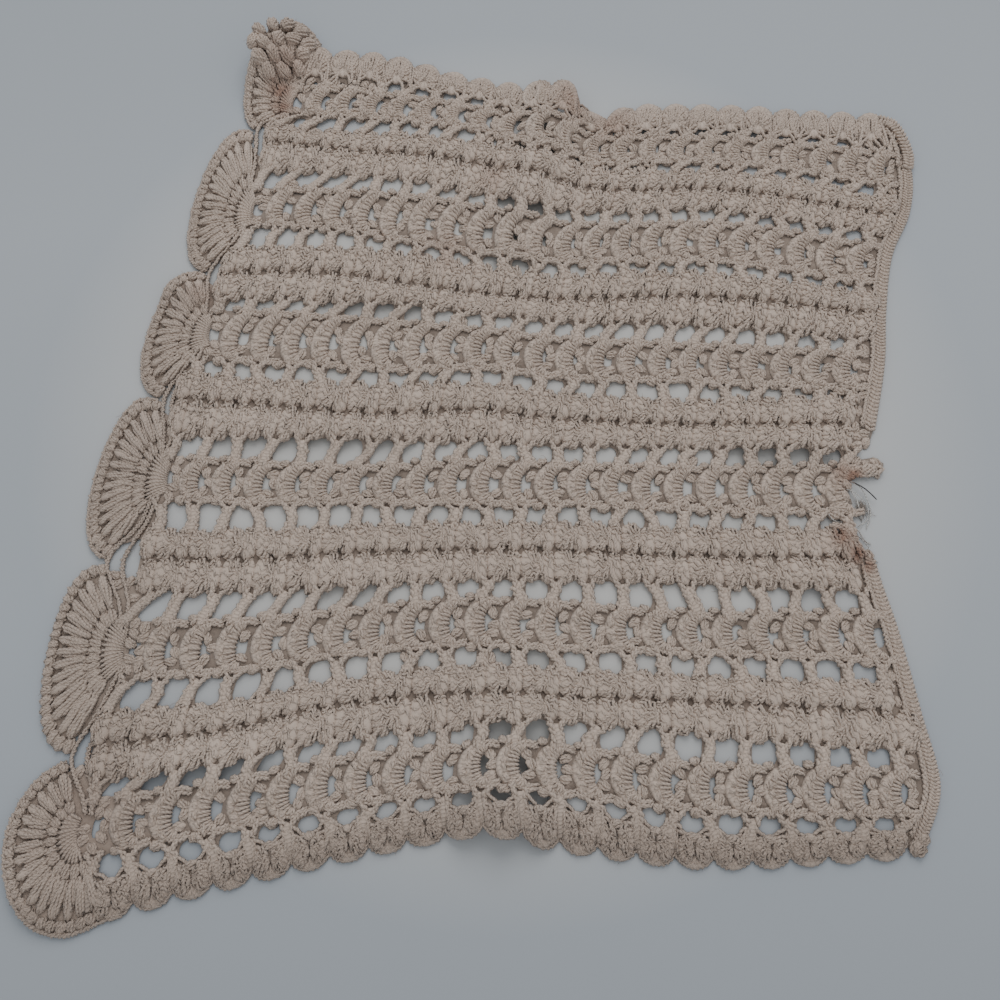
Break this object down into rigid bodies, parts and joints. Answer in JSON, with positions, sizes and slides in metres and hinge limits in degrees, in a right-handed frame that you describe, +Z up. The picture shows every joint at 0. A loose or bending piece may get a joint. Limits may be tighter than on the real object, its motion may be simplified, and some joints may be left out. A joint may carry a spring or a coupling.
{
  "type": "crocheted lace doily",
  "caption": "Openwork cotton crochet mat laid flat, with rows of fans and shells, big scallops down one end and a torn place in the ribbed border.",
  "frame": {"origin": "middle of the sheet's footprint, on the surface that it lies on", "axes": "+Z up from the surface; +X along the rows, from the big scallops to the ribbed border; +Y across the rows, to the far edge"},
  "size_m": [0.3137, 0.3412, 0.0107],
  "materials": {
    "cotton_yarn": "matt undyed plied cotton, slightly fuzzy, with faint pinkish-brown stains"
  },
  "bodies": {
    "root": {"crochet_lace": "cotton_yarn"}
  },
  "joints": []
}
